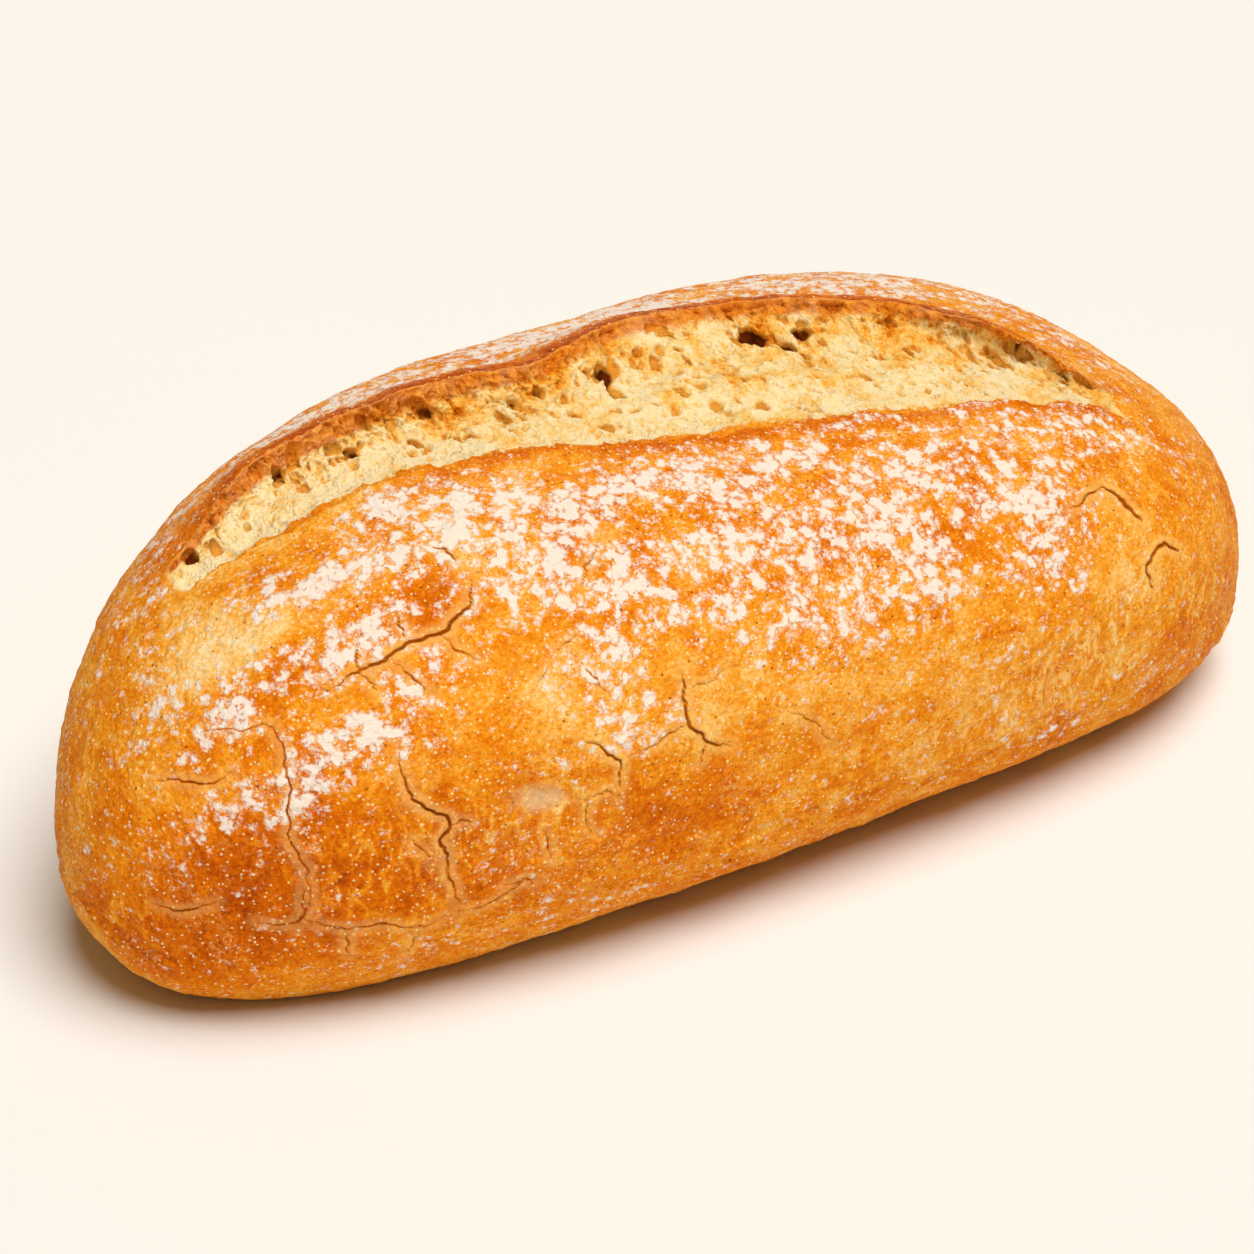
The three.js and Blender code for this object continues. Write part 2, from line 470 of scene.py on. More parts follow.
def crack_line(points, number):
    """The crack's middle line in small steps, straying a little from the curve through its points."""
    given = np.array([(x / (LENGTH / 2), math.radians(degrees)) for x, degrees in points])
    corners = crust_points(section_at(given[:, 0]), given[:, 1])
    reached = np.concatenate([[0], np.cumsum(np.linalg.norm(np.diff(corners, axis=0), axis=1))])
    along = np.linspace(0, reached[-1], max(4, int(reached[-1] / CRACK_STEP)))
    line = []
    for part, scale in ((0, LENGTH / 2), (1, MM_PER_RADIAN)):
        by_crack = np.full_like(along, CRACK_TRACKS[0] * number)
        by_part = np.full_like(along, CRACK_TRACKS[1] * part)
        stray = CRACK_WANDER * rough(np.stack([along, by_crack, by_part], 1), *CRACK_NOISE)
        line.append(curve_through(list(zip(reached, given[:, part])), along) + stray / scale)
    return np.stack(line, 1)


def crack_window(rows, spot):
    """The part of the rows near a spot of a crack, or None where the spot is on other rows."""
    station = int(np.arccos(-spot[0]) / np.pi * rows.stations) - 1
    column = rows.angle[:, np.clip(station, 0, rows.stations - 2)]
    row = int(np.searchsorted(column, spot[1]))
    if row == 0 and spot[1] < column[0]:
        row = int(np.searchsorted(column, spot[1] + 2 * np.pi))
    if row >= len(column):
        return None
    tall = int(CRACK_REACH / rows.row_step[row, station]) + 2
    wide = int(CRACK_REACH / rows.station_step[row, station]) + 2
    return (
        slice(max(row - tall, 0), row + tall + 1),
        slice(max(station - wide, 0), station + wide + 1),
    )


def mark_crack(rows, line, half_width):
    """Notes on the rows how far each point is in a crack, and how far on the lip beside it."""
    points = crust_points(section_at(line[:, 0]), line[:, 1])
    lift = ear_lift(points[:, 0], points[:, 1])
    behind_slash = (line[:, 1] < np.pi / 2) & (np.sin(line[:, 1]) > 0)
    points[:, 2] += np.where(behind_slash, lift, 0)
    taper = np.sin(np.pi * np.linspace(0.03, 0.97, len(line) - 1)) ** 0.5
    for a, b, spot, share in zip(points[:-1], points[1:], line[:-1], taper):
        window = crack_window(rows, spot)
        if window is None:
            continue
        near = rows.points[window] - a
        edge = b - a
        along = np.clip(near @ edge / max(edge @ edge, TINY), 0, 1)
        away = np.linalg.norm(near - along[..., None] * edge, axis=-1)
        width = GROOVE_BASE + half_width * share * GROOVE_WIDENING
        strength = mix(FAINT_CRACK, 1, smoothstep(half_width * share, HAIRLINE, WIDE_CRACK))
        strength = strength * mix(FAINT_CRACK, 1, share)
        groove = strength * bell(away, 0, width)
        lip = strength * bell(away - width, LIP_OFFSET, LIP_REACH)
        for name, value in (("crack", groove), ("lip", lip)):
            kept = rows.values[name]
            kept[window] = np.maximum(kept[window], value)


def mark_cracks():
    for rows in (front_flank, rear_flank):
        for number, (half_width, points) in enumerate(CRACKS):
            mark_crack(rows, crack_line(points, number), half_width)


# -------- flour
# Where flour lies: x, degrees, reach along, reach around, how much.
FLOUR = (
    (-66, 106, 18, 8, 1.15), (-48, 120, 17, 10, 1.05), (-88, 122, 12, 8, 1.0), (-76, 134, 9, 6, 0.7),
    (-92, 143, 11, 7, 1.0), (-84, 150, 7, 4, 0.8), (-112, 147, 12, 8, 0.95), (-104, 156, 7, 6, 0.85),
    (-112, 122, 10, 8, 0.8), (-122, 160, 6, 5, 0.4), (-30, 110, 20, 7, 0.9), (5, 115, 20, 8, 0.75),
    (35, 120, 20, 10, 0.85), (55, 138, 13, 14, 0.95), (70, 122, 15, 9, 0.75), (20, 134, 24, 13, 0.85),
    (-12, 132, 18, 11, 0.9), (-36, 132, 14, 10, 0.95), (-46, 148, 10, 9, 0.8), (-42, 163, 10, 7, 0.85),
    (2, 152, 17, 12, 0.75), (28, 150, 14, 10, 0.75), (-20, 147, 12, 7, 0.55), (88, 124, 12, 9, 0.65),
    (98, 138, 8, 8, 0.4), (52, 158, 12, 9, 0.55), (30, 172, 22, 8, 0.12), (104, 150, 10, 10, 0.15),
    (124, 60, 9, 16, 0.5),
    (-62, 204, 50, 6, 0.32), (20, 194, 55, 6, 0.32), (85, 188, 30, 7, 0.26), (-60, 62, 40, 18, 1.0),
    (10, 62, 45, 20, 1.1), (72, 66, 30, 20, 1.05), (106, 84, 14, 24, 0.6), (-104, 72, 16, 18, 0.5),
    (-30, 22, 50, 14, 0.4), (62, 24, 36, 14, 0.45), (-66, 96, 12, 5, 0.95), (-46, 101, 14, 6, 1.0),
    (-84, 104, 10, 6, 0.9), (-94, 99, 7, 5, 0.75), (-102, 113, 9, 6, 0.7), (-118, 104, 8, 12, 0.6),
    (-5, 109, 20, 5, 0.8), (35, 106, 24, 5, 0.8), (66, 110, 18, 6, 0.85), (84, 112, 12, 7, 0.8),
)
FLOUR_SWIRL = (4.0, 2, 5.5)
FLOUR_STREAKS = ((17, 10, 10), 2, 31.0)
FLOUR_CLUMPS = (4.2, 3, 12.0, 0.7)
STREAK_BEND = 1.6
CLUMP_BEND = 1.1
FLOUR_LEVEL = -0.86
DRIFT_SHARE = 1.25
STREAK_SHARE = 0.26
CLUMP_SHARE = 0.58


def nearness(rows, x, degrees, along, around):
    """1 at a place on the crust, fading away with its reach along and around the loaf."""
    away = (rows.degrees - degrees + 180) % 360 - 180
    return np.exp(-(((rows.x - x) / along) ** 2) - (away / around) ** 2)


def flour_field(rows):
    """Above 0 where flour covers the crust: broad drifts, broken up into ragged clumps."""
    drift = 0.0
    for *place, amount in FLOUR:
        drift = drift + (1 - drift) * np.minimum(amount * nearness(rows, *place), 1)
    bend = swirl(rows.points, *FLOUR_SWIRL)
    streaks = rough(rows.points + STREAK_BEND * bend, *FLOUR_STREAKS)
    clumps = rough(rows.points + CLUMP_BEND * bend, *FLOUR_CLUMPS)
    return DRIFT_SHARE * drift + FLOUR_LEVEL + STREAK_SHARE * streaks + CLUMP_SHARE * clumps


# -------- the crust's relief
BROAD = (14, 2, 1.5)
LEATHER = (3.4, 2, 6.5, 0.6)
BLISTERS = (1.9, 2, 9.5, 0.6)
FOLDS = ((11, 1.9, 1.9), 2, 19.5)
CREASED_PLACES = (30, 1, 61.0)
WRINKLE_STRAYING = (6, 2, 62.0)
WRINKLES = ((2.6, 9, 9), 2, 63.0)
TONE_DRIFT = (23, 2, 44.0)
BROAD_HEIGHT = 0.3
LEATHER_HEIGHT = 0.2
BLISTER_DEPTH = 0.24
FOLD_HEIGHT = 0.65
FOLD_DEGREES = (196, 345)  # low on the front and on the rear
FOLD_REACH = 11
WRINKLE_DEPTH = 0.42
WRINKLE_STRAY = 1.2
WRINKLE_DEGREES = 178
WRINKLE_REACH = 14
WRINKLE_CREST = 0.12
CREST_PALENESS = 1.1
FLOUR_HEIGHT = 0.12
CRACK_DEPTH = 0.8
LIP_HEIGHT = 0.09
DIMPLE = (-62, 173)
DIMPLE_SIZE = (7, 3.6)
DIMPLE_DEPTH = 0.9
DIMPLE_SLANT = 0.25
MM_PER_DEGREE = 0.95  # about, around the front


def dimple_at(rows):
    """The pale dimple on the front: 1 in its middle."""
    along = rows.x - DIMPLE[0]
    around = (rows.degrees - DIMPLE[1]) * MM_PER_DEGREE
    far = np.hypot(along / DIMPLE_SIZE[0], (around - DIMPLE_SLANT * along) / DIMPLE_SIZE[1])
    return np.exp(-(far**2))


def crust_relief(rows):
    """Moves the rows by the crust's wrinkles, cracks and flour, and sets the values that paint it."""
    p = rows.points
    broad = rough(p, *BROAD)
    height = BROAD_HEIGHT * broad + LEATHER_HEIGHT * rough(p, *LEATHER)
    height = height - BLISTER_DEPTH * np.abs(rough(p, *BLISTERS))

    low = sum(bell(rows.degrees, middle, FOLD_REACH) for middle in FOLD_DEGREES)
    height = height + FOLD_HEIGHT * low * rough(p, *FOLDS)
    creased = bell(rows.degrees, WRINKLE_DEGREES, WRINKLE_REACH)
    creased = creased * smoothstep(rough(p, *CREASED_PLACES), -0.35, 0.5)
    strayed = p + WRINKLE_STRAY * rough(p, *WRINKLE_STRAYING)[..., None]
    wrinkles = rough(strayed, *WRINKLES)
    height = height - WRINKLE_DEPTH * creased * np.abs(wrinkles)

    flour = flour_field(rows)
    dimple = dimple_at(rows)
    height = height + FLOUR_HEIGHT * smoothstep(flour, 0.0, 0.5) - DIMPLE_DEPTH * dimple
    height = height - CRACK_DEPTH * rows.values["crack"] ** 1.5 + LIP_HEIGHT * rows.values["lip"]

    rows.values["flour"] = flour
    crests = creased * bell(wrinkles, 0, WRINKLE_CREST)
    rows.values["tone"] = crust_tone(rows, broad) - CREST_PALENESS * crests
    rows.values["pit"] = dimple
    rows.points = p + rows.normals * height[..., None]


# Where the crust is browner (+) or paler (-): x, degrees, reach along, reach around, strength.
TONES = (
    (-71, 119, 12, 9, 0.7), (-105, 122, 10, 6, 0.5), (-112, 165, 26, 24, 0.9), (-86, 182, 20, 12, 0.6),
    (-45, 188, 26, 9, 0.5), (-28, 182, 14, 8, 0.4), (56, 150, 14, 12, 0.3), (10, 138, 16, 7, 0.35),
    (-106, 99, 10, 8, -1.3), (-98, 107, 10, 5, -1.2), (-54, 150, 10, 9, -0.7), (-29, 164, 12, 8, -0.5),
    (-57, 115, 9, 6, -0.5), (72, 168, 18, 14, -0.45), (-7, 165, 14, 10, -0.4), (30, 172, 20, 12, -0.3),
    (-15, 153, 12, 8, -0.3), (-125, 200, 20, 22, 0.9), (-60, 205, 60, 7, 0.1), (100, 190, 24, 18, 0.25),
    (-60, 25, 22, 16, 0.5), (20, 12, 26, 16, 0.4), (84, 35, 18, 16, -0.3), (-20, 40, 18, 10, -0.3),
)


def crust_tone(rows, broad):
    """Above 0 where the crust is browner. It is also browner where it swells broadly."""
    tone = 0.18 * rough(rows.points, *TONE_DRIFT) + 0.12 * broad
    for *place, strength in TONES:
        tone = tone + strength * nearness(rows, *place)
    return tone


# -------- the torn crumb
LARGE_HOLES = (  # x, place across the slash's profile, radius, stretch along the loaf
    (33, 0.79, 2.5, 1.3), (43, 0.8, 1.9, 1.3), (-2, 0.74, 2.2, 1.2), (-43, 0.8, 1.6, 1.6),
    (-75, 0.8, 1.5, 1.2), (-12, 0.4, 1.1, 2.0), (-38, 0.45, 1.0, 1.6), (-92, 0.7, 1.2, 1.1),
    (82, 0.84, 1.1, 3.2), (91, 0.84, 0.9, 2.6), (60, 0.85, 1.0, 2.4), (16, 0.86, 1.0, 1.8),
    (-60, 0.7, 1.3, 1.5), (-20, 0.8, 1.4, 1.3), (8, 0.8, 1.3, 1.2),
)
SMALL_HOLES = 1500
SMALL_RADIUS = 0.4
SMALL_RADIUS_SPREAD = 0.5  # of its logarithm
SMALL_RADIUS_LIMITS = (0.2, 1.5)
HOLES_AROUND_LARGE = 5


def small_holes(random):
    """Gas cells that the tear opened: row, station, radius, stretch, turn and depth of the middle."""
    rows, stations = slash.angle.shape
    area = slash.row_step * slash.station_step * slash.values["crumb"]
    chance = (area * (0.55 + 1.1 * slash.places)).ravel()
    spots = random.choice(rows * stations, SMALL_HOLES, p=chance / chance.sum())
    radius = random.lognormal(math.log(SMALL_RADIUS), SMALL_RADIUS_SPREAD, SMALL_HOLES)
    radius = np.clip(radius, *SMALL_RADIUS_LIMITS) * mix(0.75, 1.25, slash.places[spots // stations, 0])
    stretch = 1 + random.gamma(1.6, 0.35, SMALL_HOLES)
    turn = random.normal(1.3, 0.6, SMALL_HOLES)
    depth = radius * random.uniform(-0.2, 0.8, SMALL_HOLES)
    return list(zip(spots // stations, spots % stations, radius, stretch, turn, depth))


def large_holes(random):
    """The holes that the photo shows, each with smaller ones around it, in small_holes' form."""
    rows, stations = slash.angle.shape
    holes = []
    for x, place, radius, stretch in LARGE_HOLES:
        station = int(np.argmin(np.abs(slash.x[0] - x)))
        row = int(np.argmin(np.abs(slash.places[:, 0] - place)))
        holes.append((row, station, radius, stretch, 0.1, 0.6 * radius))
        for _ in range(HOLES_AROUND_LARGE):
            near_row = int(np.clip(row + random.normal() * 7 * DETAIL, 2, rows - 3))
            near_station = int(np.clip(station + random.normal() * 9 * DETAIL, 2, stations - 3))
            part = radius * random.uniform(0.35, 0.7)
            holes.append((near_row, near_station, part, 1.3, random.uniform(0, 3), 0.5 * part))
    return holes


def carve_holes(random):
    """How deep the open gas cells go below the crumb's surface."""
    depth = np.zeros(slash.angle.shape, np.float32)
    rows, stations = depth.shape
    holes = small_holes(random) + large_holes(random)
    for row, station, radius, stretch, turn, middle in sorted(holes, key=lambda hole: hole[5] - hole[2]):
        long = radius * stretch
        row_step = slash.row_step[row, station]
        station_step = slash.station_step[row, station]
        tall = int(long / row_step) + 1
        wide = int(long / station_step) + 1
        near_rows = np.arange(max(row - tall, 0), min(row + tall + 1, rows))
        near_stations = np.arange(max(station - wide, 0), min(station + wide + 1, stations))
        window = np.ix_(near_rows, near_stations)
        down = (near_rows - row)[:, None] * row_step
        along = (near_stations - station) * station_step
        a = along * math.cos(turn) + down * math.sin(turn)
        b = down * math.cos(turn) - along * math.sin(turn)
        inside = 1 - (a / long) ** 2 - (b / radius) ** 2
        half = radius * np.sqrt(np.clip(inside, 0, None))
        here = depth[window]
        opened = (inside > 0) & (middle - half <= here + 0.1)
        depth[window] = np.where(opened, np.maximum(here, middle + half), here)
    return depth


def soften(values):
    """A light blur along both directions of the rows."""
    for axis in (0, 1):
        values = 0.5 * values + 0.25 * (np.roll(values, 1, axis) + np.roll(values, -1, axis))
    return values


CRUMB_SWIRL = (5, 3, 70.0)
OPENNESS = (9, 2, 35.0)
LARGE_PORES = ((1.1, 1.9, 1.9), 11.0)  # size and shift
SMALL_PORES = ((0.7, 1.0, 1.0), 23.0)
BROAD_LUMPS = (12, 1, 2.2)
FINE_LUMPS = (4.4, 2, 4.2, 0.6)
TOAST_DRIFT = (10, 2, 50.0)
TOAST_GRAIN = (3.0, 2, 60.0)
HOLE_DEPTH = 0.8
PORE_DEPTH = 0.55
LEDGE_PLACE = 0.5  # a torn ledge along the middle of the slash
LEDGE_REACH = 0.1
LEDGE_X = 28
LEDGE_REACH_X = 34
LEDGE_HEIGHT = 1.4
CRUMB_RISE = 0.25


def pores_of_crumb(places):
    """The crumb's fine pores: 0 on their walls, up to about 1.6 inside."""
    p = slash.points
    bend = swirl(p, *CRUMB_SWIRL)
    openness = smoothstep(rough(p, *OPENNESS) + 0.4 * places, -0.6, 0.7)
    large = foam(p + 1.5 * bend, *LARGE_PORES)
    small = foam(p + 0.8 * bend, *SMALL_PORES)
    return openness * smoothstep(large, 0.06, 0.5) + 0.6 * smoothstep(small, 0.1, 0.6)


def toast_of_crumb(places, ledge, lumps, depth):
    """How brown the crumb is: more towards the ear and on what stands out, less at the left end."""
    p = slash.points
    patchy = mix(0.4, 0.9, smoothstep(slash.x, -70, -20))
    heat = 0.7 * smoothstep(places, 0.45, 1.0) + patchy * rough(p, *TOAST_DRIFT)
    heat = heat + 0.5 * rough(p, *TOAST_GRAIN)
    heat = heat + 0.35 * ledge + 0.3 * (1 - smoothstep(places, 0.03, 0.2))
    heat = heat - 0.32 * (1 - smoothstep(slash.x, -62, -22)) - 0.3 * np.minimum(depth, 1.2)
    return np.clip(0.75 * heat + 0.24 + 0.2 * lumps, -0.5, 2)


def crumb_relief():
    """Tears the slash's surface into crumb, and sets the values that paint it."""
    places = slash.places
    p = slash.points
    opened = smoothstep(slash.fullness, 0.02, 0.3)
    edges = smoothstep(places, 0.0, 0.06) * (1 - smoothstep(places, 0.965, 1.0))
    slash.values["crumb"] = opened * smoothstep(places, 0.0, 0.16) * np.ones_like(slash.angle)
    random = np.random.default_rng(SEED + 1)
    depth = HOLE_DEPTH * soften(carve_holes(random)) * edges * opened
    pores = pores_of_crumb(places)
    lumps = 1.2 * rough(p, *BROAD_LUMPS) + 0.7 * rough(p, *FINE_LUMPS)
    ledge = bell(places, LEDGE_PLACE, LEDGE_REACH) * bell(slash.x, LEDGE_X, LEDGE_REACH_X)
    height = (lumps + LEDGE_HEIGHT * ledge + CRUMB_RISE - PORE_DEPTH * pores) * edges * opened - depth
    beside = smoothstep(places, 0.94, 1.0) + 1 - smoothstep(places, 0, 0.03)
    crust = BROAD_HEIGHT * rough(p, *BROAD) + LEATHER_HEIGHT * rough(p, *LEATHER)
    height = height + ((1 - opened) + opened * beside) * crust
    slash.values["toast"] = toast_of_crumb(places, ledge, lumps, depth)
    # pit: how deep the holes and pores go, which sets the painted shade in them.
    slash.values["pit"] = depth + 0.5 * pores * opened
    slash.values["flour"] = flour_field(slash) * (1 - opened) - 2.0 * opened
    slash.values["tone"] = crust_tone(slash, 0.0)
    widening = 0.063 * (1 - smoothstep(slash.x, -50, -10))
    slash.values["rim"] = smoothstep(places + widening, 0.83, 0.97) * opened
    slash.points = p + slash.normals * height[..., None]


EAR_BROWNING = (6.5, 1.4, 1.1)  # reach, how much browner, how much barer of flour
FRONT_REACH = 3.5
FRONT_BROWNING = (-0.8, 0.8)  # at these two x and beyond
FRONT_BROWNING_X = (-75, -30)
FRONT_BARENESS = 0.35


def brown_edge(rows, away, reach, browning, bareness):
    """Browns the crust along an edge of the slash, and bares it of flour, fading with distance."""
    crown = np.sin(rows.angle) > CROWN_SINE
    band = slash_fullness(rows.x) * bell(np.maximum(away, 0), 0, reach) * crown
    rows.values["tone"] = rows.values["tone"] + browning * band
    rows.values["flour"] = rows.values["flour"] - bareness * band


def brown_edges():
    """The ear is browned dark along its rim, and the thin front edge all but its pale left end."""
    _, rear = slash_edges(rear_flank.x)
    brown_edge(rear_flank, rear_flank.points[..., 1] - rear, *EAR_BROWNING)
    front, _ = slash_edges(front_flank.x)
    browning = mix(*FRONT_BROWNING, smoothstep(front_flank.x, *FRONT_BROWNING_X))
    brown_edge(front_flank, front - front_flank.points[..., 1], FRONT_REACH, browning, FRONT_BARENESS)


mark_cracks()
for rows in CRUSTS:
    crust_relief(rows)
crumb_relief()
brown_edges()


# -------- one mesh from all the rows
TIP_MARGIN = 0.01
MEASURE_STATIONS = 400
MEASURE_ANGLES = 721


def plain_middle():
    """The middle of the plain solid's width, which the frame puts at y = 0."""
    s = -np.cos(np.linspace(TIP_MARGIN, np.pi - TIP_MARGIN, MEASURE_STATIONS))[:, None]
    around = np.linspace(0, 2 * np.pi, MEASURE_ANGLES)[None]
    y = crust_points(section_at(s), around, lumpy=False)[..., 1]
    return (y.min() + y.max()) / 2


def to_frame(points):
    """Moves points in millimetres to the frame, in metres, resting on the frame's floor."""
    low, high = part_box("loaf")
    placed = np.array(points, float) * MM
    placed[..., 0] += (low.x + high.x) / 2
    placed[..., 1] += (low.y + high.y) / 2 - plain_middle() * MM
    placed[..., 2] = np.maximum(placed[..., 2], 0) + low.z
    return placed


def stitch(lower, upper):
    """Triangles between two neighbouring rows, where one may have twice the stations."""
    if len(lower) == len(upper):
        one = np.stack([lower[:-1], upper[:-1], upper[1:]], 1)
        two = np.stack([lower[:-1], upper[1:], lower[1:]], 1)
        return np.concatenate([one, two])
    if len(lower) < len(upper):
        near, middle, far = upper[:-1:2], upper[1::2], upper[2::2]
        parts = [(lower[:-1], near, middle), (lower[:-1], middle, lower[1:]), (lower[1:], middle, far)]
    else:
        near, middle, far = lower[:-1:2], lower[1::2], lower[2::2]
        parts = [(near, upper[:-1], middle), (middle, upper[:-1], upper[1:]), (middle, upper[1:], far)]
    return np.concatenate([np.stack(part, 1) for part in parts])


def loaf_mesh():
    """The loaf's points and their values, with its triangles and the texture place of their corners.

    Points 0 and 1 are the loaf's tips. The slash's first row comes again at the end of the ring, with
    the same points and another texture place.
    """
    order = (slash, front_flank, base, rear_flank)
    tips = np.array([(-LENGTH / 2, BEND, END_HEIGHT), (LENGTH / 2, BEND, END_HEIGHT)])
    points = np.concatenate([tips] + [rows.points.reshape(-1, 3) for rows in order])
    values = {}
    for name in slash.values:
        parts = [rows.values[name].ravel() for rows in order]
        values[name] = np.concatenate([[0, 0]] + parts).astype(np.float32)

    ring = [(rows, row) for rows in order for row in range(len(rows.angle))] + [(slash, 0)]
    real = []
    texture = []
    lines = []
    placed = 0
    seen = 0
    reach = 0.0
    for rows, row in ring:
        inner = (placed + np.arange(rows.stations - 1)) % (len(points) - len(tips))
        real.append(np.concatenate([[0], len(tips) + inner, [1]]))
        along = np.arange(rows.stations + 1) / rows.stations
        texture.append(np.stack([along, np.full_like(along, reach)], 1))
        lines.append(seen + np.arange(rows.stations + 1))
        placed += rows.stations - 1
        seen += rows.stations + 1
        reach += float(rows.row_step[row, rows.stations // 2])
    texture = np.concatenate(texture)
    texture[:, 1] /= texture[:, 1].max()
    corners = np.concatenate([stitch(a, b) for a, b in zip(lines[:-1], lines[1:])])
    faces = np.concatenate(real)[corners]
    whole = (faces != np.roll(faces, 1, axis=1)).all(axis=1)
    return points, values, faces[whole], texture[corners[whole]]


def make_loaf():
    points, values, faces, texture = loaf_mesh()
    mesh = bpy.data.meshes.new("baguette_loaf")
    mesh.vertices.add(len(points))
    mesh.vertices.foreach_set("co", to_frame(points).astype(np.float32).ravel())
    mesh.loops.add(faces.size)
    mesh.loops.foreach_set("vertex_index", faces.astype(np.int32).ravel())
    mesh.polygons.add(len(faces))
    mesh.polygons.foreach_set("loop_start", np.arange(0, faces.size, 3, dtype=np.int32))
    mesh.update(calc_edges=True)
    mesh.polygons.foreach_set("use_smooth", np.ones(len(faces), bool))
    layer = mesh.uv_layers.new(name="OFBake")
    layer.data.foreach_set("uv", texture.astype(np.float32).ravel())
    for name, numbers in values.items():
        attribute = mesh.attributes.new(name, "FLOAT", "POINT")
        attribute.data.foreach_set("value", numbers)
    piece = bpy.data.objects.new("baguette_loaf", mesh)
    bpy.context.scene.collection.objects.link(piece)
    return piece


# -------- materials
# Sockets of a mix node for colours.
MIX_SHARE = 0
MIX_FIRST = 6
MIX_SECOND = 7
MIX_COLOUR = 2

# Colours from 0 to 255, and the places of the colours on a ramp.
CRUST_COLOURS = (
    (0.0, (255, 222, 170)), (0.2, (254, 198, 110)), (0.4, (247, 160, 34)), (0.6, (231, 121, 2)),
    (0.8, (204, 91, 0)), (1.0, (160, 60, 0)),
)
CRUMB_COLOURS = (
    (0.0, (255, 230, 180)), (0.2, (255, 216, 144)), (0.4, (254, 196, 94)), (0.6, (248, 162, 46)),
    (0.8, (224, 118, 16)), (1.0, (178, 76, 2)),
)
# Painted shade in the crumb's pores and holes: the deeper they go, the darker.
PIT_PAINTED_SHADE = ((0.25, (255, 255, 255)), (0.6, (255, 238, 190)), (1.0, (232, 180, 92)))
RIM_COLOURS = ((0.3, (252, 168, 62)), (0.5, (232, 124, 24)), (0.7, (172, 72, 4)))
CURL_COLOUR = (255, 206, 124)
# Pale blister specks, painted brighter as their highlights.
BLISTER_HIGHLIGHT_COLOUR = (255, 222, 160)
# Painted shade in the crust's tiny pits.
PORE_PAINTED_SHADE = (168, 72, 6)
DIMPLE_COLOUR = (226, 200, 162)
LIP_COLOUR = (255, 206, 120)
FLOUR_COLOUR = (251, 235, 221)
# Painted shade inside the crust's cracks.
CRACK_PAINTED_SHADE = (166, 76, 10)
# Dark painted shade deep in the crumb's holes.
DEEP_HOLE_PAINTED_SHADE = (104, 40, 4)
FLOOR_COLOURS = ((247, 243, 239), (249, 245, 241))

# Noise: size in millimetres, detail, roughness and, where it winds, warp.
MOTTLE = (9, 5, 0.65, 0.7)
BLOTCH = (2.6, 3, 0.6)
GRAIN = (0.8, 4, 0.85)
RAGGEDNESS = (3.2, 4, 0.65)
CURLS = (3.4, 2, 0.5, 1.6)
CURL_DRIFT = (13, 2, 0.5)
FLOUR_GRAIN = (2.2, 4, 0.65)
STIPPLE = (0.5, 2, 0.6)
FIBRES = (1.5, 3, 0.65, 1.4)
PATCHES = (1.5, 4, 0.7)
RIM_MOTTLE = (2.0, 4, 0.7)
GLOSS = (2.5, 3, 0.6)
SKIN_BUMP = (1.1, 4, 0.75)
SKIN_BUMP_HEIGHT = 0.7  # millimetres
FLOOR_CLOUDS = (120, 2, 0.5)
GRANULES = ((2.7, -1.5, 0.66), (1.1, -1.0, 0.43))  # size of cells, slope and level of the flour's clumps


